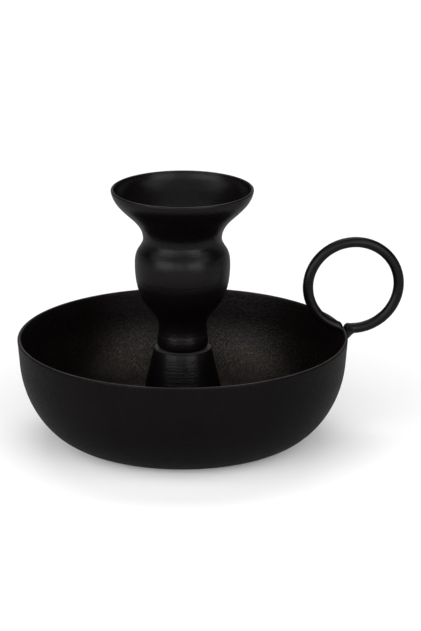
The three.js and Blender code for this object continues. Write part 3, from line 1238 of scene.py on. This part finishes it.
# Each softbox: its azimuth from the camera's side and its elevation in degrees, its width and height in
# metres, and its level, where 1 shows a colour that faces it as it is written. All face the object,
# but for the background's, which faces the floor behind it.
SOFTBOXES = {
    "Left softbox": (-44, 19, 1.2, 1.0, 0.84),
    "Right softbox": (33, 19, 1.0, 1.0, 0.7),
    "Front softbox": (-6, 19, 0.6, 1.0, 0.25),
    "Left wing": (-78, 42, 0.7, 0.8, 0.17),
    "Right wing": (64, 42, 0.7, 0.8, 0.17),
    "Top softbox": (0, 62, 2.2, 1.3, 0.45),
}
BACKGROUND_SOFTBOX = (180, 85, 1.4, 1.2, 1.0)


def direction(azimuth, elevation):
    """From the object towards a place; azimuth 0 is the front, -Y, and it grows towards +X"""
    return Vector((
        math.sin(azimuth) * math.cos(elevation),
        -math.cos(azimuth) * math.cos(elevation),
        math.sin(elevation),
    ))


def pale_material(sizes):
    """The floor and backdrop: pale, and lifted to white for what sees it, with the shadow kept"""
    material = bpy.data.materials.new("Pale paper")
    material.use_nodes = True
    tree = material.node_tree
    tree.nodes.clear()
    seen = add_node(tree, "ShaderNodeLightPath").outputs
    shows = math_node(
        tree, "MAXIMUM", seen["Is Camera Ray"],
        math_node(tree, "MAXIMUM", seen["Is Glossy Ray"], seen["Is Transmission Ray"]))
    place = add_node(tree, "ShaderNodeTexCoord").outputs["Object"]
    reach = add_node(tree, "ShaderNodeVectorMath", {"operation": "LENGTH"}, i0=place)
    floor_end, backdrop_start = 0.8, 2.8
    lift_there = map_node(
        tree, reach.outputs["Value"], (floor_end, backdrop_start),
        (sizes.floor_lift, sizes.backdrop_lift))
    paper = add_node(tree, "ShaderNodeBsdfDiffuse", Color=(*sizes.floor_colour, 1))
    strength = math_node(tree, "MULTIPLY", shows, lift_there)
    glow = add_node(tree, "ShaderNodeEmission", Color=(1, 1, 1, 1), Strength=strength)
    both = add_node(tree, "ShaderNodeAddShader", i0=paper, i1=glow)
    add_node(tree, "ShaderNodeOutputMaterial", Surface=both)
    return material


def make_floor(sizes):
    """A round floor, a hair under the base, that curves up into a low wall all round"""
    cove_start = 3.0
    cove_radius = 1.0
    facets = 128
    hair = 0.02 * MM
    outline = straight(Vector((0, 0)), Vector((cove_start, 0)), 3)[:-1]
    outline += [
        Vector((cove_start + cove_radius * math.sin(a), cove_radius * (1 - math.cos(a))))
        for a in quarter_turn(16)]
    mesh = turned("studio_floor", outline, facets, pale_material(sizes), closed=False)
    lift(mesh, -hair)
    floor = new_object("studio_floor", mesh)


def make_world(sizes):
    world = bpy.data.worlds.new("Soft fill")
    world.use_nodes = True
    background = world.node_tree.nodes["Background"]
    background.inputs["Color"].default_value = (1, 1, 1, 1)
    background.inputs["Strength"].default_value = sizes.fill_strength
    bpy.context.scene.world = world


def aim(made, target, way, distance):
    """Puts a lamp or a camera in the scene, a distance from a point and facing it"""
    made.location = target + way * distance
    made.rotation_euler = (-way).to_track_quat("-Z", "Y").to_euler()
    bpy.context.scene.collection.objects.link(made)


def make_softbox(name, target, azimuth, elevation, width, height, level):
    """A softbox that faces a point and that the camera doesn't see"""
    distance = 1.5
    lamp = bpy.data.lights.new(name, "AREA")
    lamp.shape = "RECTANGLE"
    lamp.size = width
    lamp.size_y = height
    lamp.energy = level * (math.pi * distance) ** 2
    made = bpy.data.objects.new(name, lamp)
    made.visible_camera = False
    way = direction(PHOTO_AZIMUTH + math.radians(azimuth), math.radians(elevation))
    aim(made, target, way, distance)


def make_camera(sizes):
    """The photograph's viewpoint"""
    data = bpy.data.cameras.new("Photo view")
    data.lens = sizes.lens
    data.clip_start = 0.05
    camera = bpy.data.objects.new("Photo view", data)
    right = Vector((math.cos(PHOTO_AZIMUTH), math.sin(PHOTO_AZIMUTH), 0))
    target = right * sizes.target_right + Vector((0, 0, sizes.target_height))
    aim(camera, target, direction(PHOTO_AZIMUTH, PHOTO_ELEVATION), sizes.camera_distance)
    bpy.context.scene.camera = camera
    bpy.context.scene.view_settings.view_transform = "Standard"


class MakeStage(bpy.types.Operator):
    """Make the pale floor, the backdrop, the lamps and the camera"""

    bl_idname = "candle_holder.make_stage"
    bl_label = "Stage"

    def execute(self, context):
        sizes = context.scene.candle_holder.stage
        make_floor(sizes)
        make_world(sizes)
        for name, values in SOFTBOXES.items():
            make_softbox(name, Vector((0, 0, BOWL.z)), *values)
        behind = direction(PHOTO_AZIMUTH + math.pi, 0) * 0.9
        make_softbox("Background softbox", behind, *BACKGROUND_SOFTBOX)
        make_camera(sizes)
        return {"FINISHED"}


# Panel and registration


class CandleHolderPanel(bpy.types.Panel):
    """Lists the pieces of the candle holder"""

    bl_idname = "VIEW3D_PT_candle_holder"
    bl_label = "Candle holder"
    bl_space_type = "VIEW_3D"
    bl_region_type = "UI"
    bl_category = "Candle holder"

    def draw(self, context):
        holder = context.scene.candle_holder
        groups = {
            MakeBowl: (holder.bowl,),
            MakeCone: (holder.cone,),
            MakeSocket: (holder.socket,),
            MakeRing: (holder.ring,),
            MakeClamp: (holder.clamp,),
            MakeStage: (holder.stage, holder.finishes),
        }
        for operator, settings in groups.items():
            box = self.layout.box()
            box.operator(operator.bl_idname)
            for group in settings:
                for name in group.bl_rna.properties.keys():
                    if name not in ("rna_type", "name"):
                        box.prop(group, name)


CLASSES = (
    BowlSizes, ConeSizes, SocketSizes, RingSizes, ClampSizes, Finishes, StageSizes, CandleHolder,
    MakeBowl, MakeCone, MakeSocket, MakeRing, MakeClamp, MakeStage, CandleHolderPanel,
)


def register():
    for item in CLASSES:
        bpy.utils.register_class(item)
    bpy.types.Scene.candle_holder = bpy.props.PointerProperty(type=CandleHolder)


def unregister():
    del bpy.types.Scene.candle_holder
    for item in reversed(CLASSES):
        bpy.utils.unregister_class(item)


def main():
    register()
    bpy.ops.candle_holder.make_bowl()
    bpy.ops.candle_holder.make_cone()
    bpy.ops.candle_holder.make_socket()
    bpy.ops.candle_holder.make_ring()
    bpy.ops.candle_holder.make_clamp()
    bpy.ops.candle_holder.make_stage()


if __name__ == "__main__":
    main()
